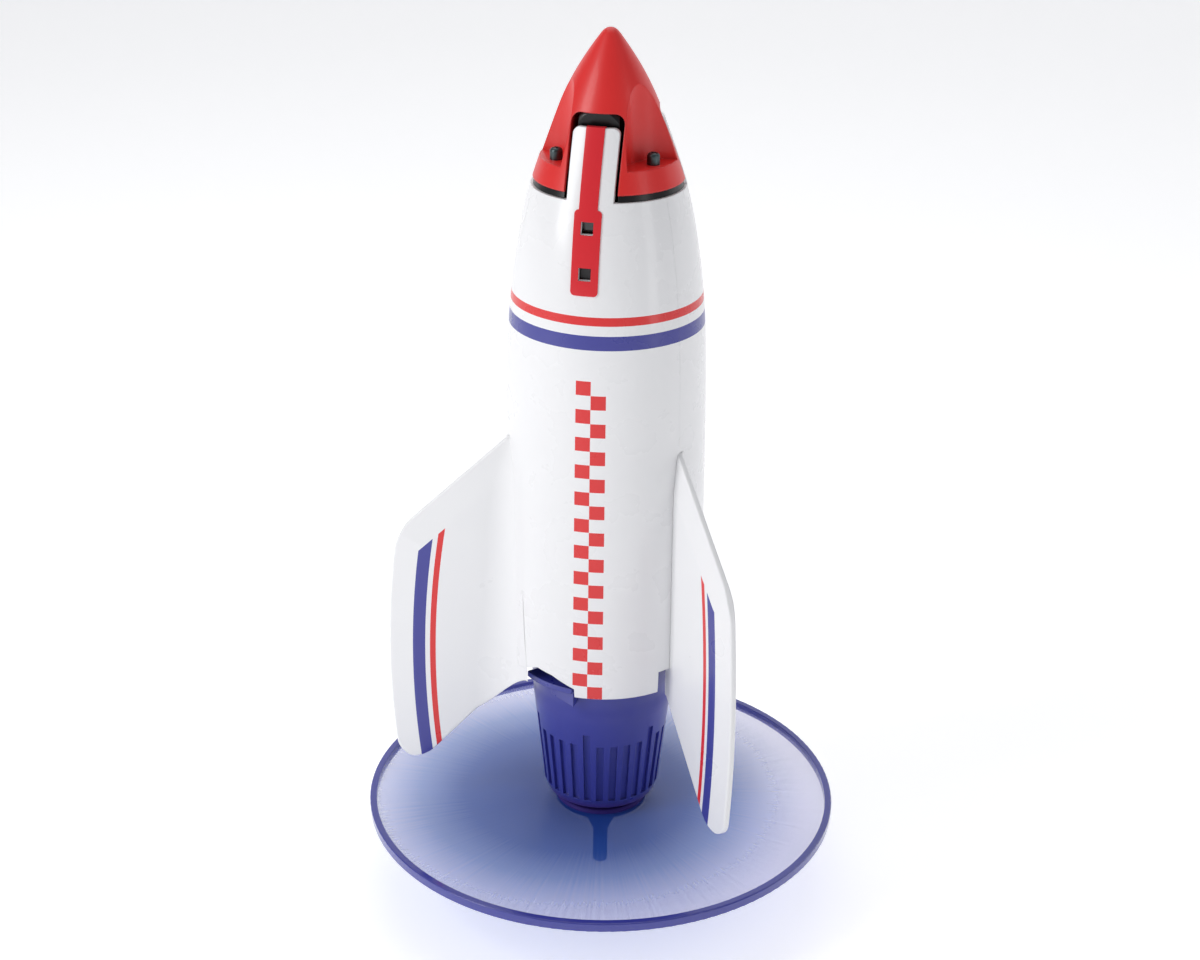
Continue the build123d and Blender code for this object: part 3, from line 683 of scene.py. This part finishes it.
class ROCKET_OT_tail(bpy.types.Operator):
    """Finishes the tail cup and its motor"""

    bl_idname = "rocket.tail"
    bl_label = "Tail unit"

    def execute(self, context):
        dress(violet_polypropylene(), "tail_cup")
        # bright steel with lines drawn along the can
        dress(metal("drawn_motor_can", "#a9abad", 0.32, 0.3, 0.1), "motor_can")
        # ground steel with rings round it
        dress(metal("ground_shaft_steel", "#c3c4c6", 0.2, 0.15, 6.0), "motor_shaft")
        # a dry mid grey
        dress(plastic("grey_nylon", "#62656a", 0.5), "motor_clamp", "lock_ring")
        return {"FINISHED"}


class ROCKET_OT_rotor(bpy.types.Operator):
    """Finishes the ringed rotor and its launch pin"""

    bl_idname = "rocket.rotor"
    bl_label = "Rotor"

    def execute(self, context):
        rotor_blades(blurred_rotor_film())
        # a polished hoop with a line of light along its upper edge
        dress(plastic("violet_abs_hoop", "#3b3f9e", 0.2, 0.8, 0.003, 0.5, 0.3, 0.1), "rotor_ring")
        # a dark dull violet, darkened beyond the cup's violet as painted shade under the cup, so that the
        # hub's rim stays darker than the cup
        hub = plastic("deep_violet_abs", "#3a2a80", 0.55, 0.6, 0.004, 0.0, 0.4)
        hub.node_tree.nodes["Principled BSDF"].inputs["Specular IOR Level"].default_value = 0.2
        dress(hub, "rotor_hub", "launch_pin")
        return {"FINISHED"}


class ROCKET_OT_inside(bpy.types.Operator):
    """Makes the folded canopy and finishes what the body holds"""

    bl_idname = "rocket.inside"
    bl_label = "Inside"

    def execute(self, context):
        packed_canopy(ripstop_nylon())
        # decks in a half-matt grey
        dress(plastic("grey_abs_deck", "#5c5f64", 0.5), "lower_deck", "upper_deck")
        # half-matt black mouldings
        dress(plastic("black_abs_tray", "#131316", 0.45), "battery_holder", "board_parts", "tact_switch")
        # a shrunk-on sleeve, smooth and glossy
        dress(plastic("pvc_cell_sleeve", "#276b45", 0.25, 1.0, 0.002, 0.3), "battery_cells")
        # green lacquer over the board, with a slight orange-peel shine
        dress(plastic("green_solder_mask", "#1a5c33", 0.3, 0.4, 0.006, 0.3), "circuit_board")
        dress(wound_card(), "parachute_tube")
        # drawn wire that catches light on each turn
        dress(metal("spring_wire", "#b0b1b3", 0.28, 0.2), "ejector_spring")
        return {"FINISHED"}


class ROCKET_OT_stage(bpy.types.Operator):
    """Lays a pale floor, sets soft studio lights and places the camera"""

    bl_idname = "rocket.stage"
    bl_label = "Stage"

    def execute(self, context):
        lay_floor()
        set_lights()
        place_camera()
        return {"FINISHED"}


def lay_floor():
    """A pale matt sheet under the pin's tip, lit a little from within, that curves up far behind.

    Its section is flat, then a quarter circle, then upright; the grid carries that section sideways.
    """
    material, tree, shader = new_material("matt_studio_paper")
    place = add(tree, PLACE).outputs["Object"]
    tree.links.new(tinted(tree, place, linear("#fbfbfc"), 0.015, 3.0), shader.inputs["Base Color"])
    shader.inputs["Roughness"].default_value = 0.9
    shader.inputs["Emission Color"].default_value = linear("#ffffff")
    shader.inputs["Emission Strength"].default_value = 0.4
    ground = CAD_BOX[0][2] - 0.2 * MM
    # metres: radius of the curve, half the width, the front edge, where the curve starts, top of the wall
    bend, wide, front, back, wall = 0.9, 6.0, -3.0, 2.2, 4.0
    turn = np.linspace(0, math.pi / 2, 24)
    along = np.concatenate([[front, back - 1.0], back + bend * np.sin(turn), [back + bend]])
    up = np.concatenate([[0, 0], bend * (1 - np.cos(turn)), [wall]])
    across = np.array([-wide, wide])
    y, x = np.meshgrid(along, across, indexing="ij")
    z = np.broadcast_to(up[:, None], y.shape) + ground
    points = np.stack([x, y, z], axis=-1).reshape(-1, 3)
    faces = grid_faces(len(along), 2, closed_columns=False)
    shape_object("studio_floor", points, faces, material)


def soft_light(name, place, target, width, height, power):
    """A large rectangular light aimed at a point."""
    lamp = bpy.data.lights.new(name, "AREA")
    lamp.shape, lamp.size, lamp.size_y, lamp.energy = "RECTANGLE", width, height, power
    piece = bpy.data.objects.new(name, lamp)
    aim = (Vector(target) - Vector(place)).to_track_quat("-Z", "Y")
    piece.matrix_world = Matrix.Translation(place) @ aim.to_matrix().to_4x4()
    bpy.context.scene.collection.objects.link(piece)


def set_lights():
    """Soft boxes to the left front and right, one overhead, and a white surround."""
    middle = (0, 0, 0.12)
    soft_light("key_softbox", (-0.66, -0.60, 0.58), middle, 0.35, 0.8, 4.5)
    soft_light("side_softbox", (0.80, -0.30, 0.40), middle, 0.20, 0.8, 0.8)
    soft_light("top_softbox", (-0.1, 0.35, 1.1), middle, 0.9, 0.9, 3.2)
    world = bpy.data.worlds.new("white_surround")
    world.use_nodes = True
    surround = world.node_tree.nodes["Background"]
    surround.inputs["Color"].default_value = linear("#f2f4fa")
    surround.inputs["Strength"].default_value = 0.30
    bpy.context.scene.world = world
    bpy.context.scene.view_settings.view_transform = "Standard"


def place_camera():
    """A camera 0.57 m from the axis, 14 degrees round from the front, looking down by 23.8 degrees."""
    azimuth, distance, height = math.radians(14.0), 0.5714, 0.3775
    pan, dip, roll = math.radians(14.15), math.radians(23.82), math.radians(0.69)
    forward = Vector((-math.sin(pan) * math.cos(dip), math.cos(pan) * math.cos(dip), -math.sin(dip)))
    right = forward.cross(Vector((0, 0, 1))).normalized()
    up = right.cross(forward)
    across = math.cos(roll) * right + math.sin(roll) * up
    above = math.cos(roll) * up - math.sin(roll) * right
    lens_mm, sensor_mm, nearest = 61.39, 36.0, 0.01
    data = bpy.data.cameras.new("studio_camera")
    data.lens, data.sensor_width, data.clip_start = lens_mm, sensor_mm, nearest
    camera = bpy.data.objects.new("studio_camera", data)
    turn = Matrix((across, above, -forward)).transposed().to_4x4()
    stand = (distance * math.sin(azimuth), -distance * math.cos(azimuth), height)
    camera.matrix_world = Matrix.Translation(stand) @ turn
    bpy.context.scene.collection.objects.link(camera)
    bpy.context.scene.camera = camera


class ROCKET_PT_panel(bpy.types.Panel):
    """Lists the rocket's pieces in the sidebar"""

    bl_idname = "ROCKET_PT_panel"
    bl_label = "Model rocket"
    bl_space_type = "VIEW_3D"
    bl_region_type = "UI"
    bl_category = "Rocket"

    def draw(self, context):
        for step in STEPS:
            self.layout.operator(step.bl_idname)
        for group in (context.scene.rocket_sizes, context.scene.rocket_colours):
            for name in group.bl_rna.properties.keys():
                if name not in ("rna_type", "name"):
                    self.layout.prop(group, name)


STEPS = (
    ROCKET_OT_stage,
    ROCKET_OT_airframe,
    ROCKET_OT_fins,
    ROCKET_OT_nose,
    ROCKET_OT_tail,
    ROCKET_OT_rotor,
    ROCKET_OT_inside,
)
CLASSES = (RocketSizes, RocketColours, *STEPS, ROCKET_PT_panel)


def register():
    """Registers the classes and hangs the two property groups on the scene."""
    for cls in CLASSES:
        bpy.utils.register_class(cls)
    bpy.types.Scene.rocket_sizes = PointerProperty(type=RocketSizes)
    bpy.types.Scene.rocket_colours = PointerProperty(type=RocketColours)


def unregister():
    """Takes everything off again."""
    del bpy.types.Scene.rocket_colours
    del bpy.types.Scene.rocket_sizes
    for cls in reversed(CLASSES):
        bpy.utils.unregister_class(cls)


def main():
    """Makes every piece in order."""
    register()
    for step in STEPS:
        group, name = step.bl_idname.split(".")
        getattr(getattr(bpy.ops, group), name)()


if __name__ == "__main__":
    main()
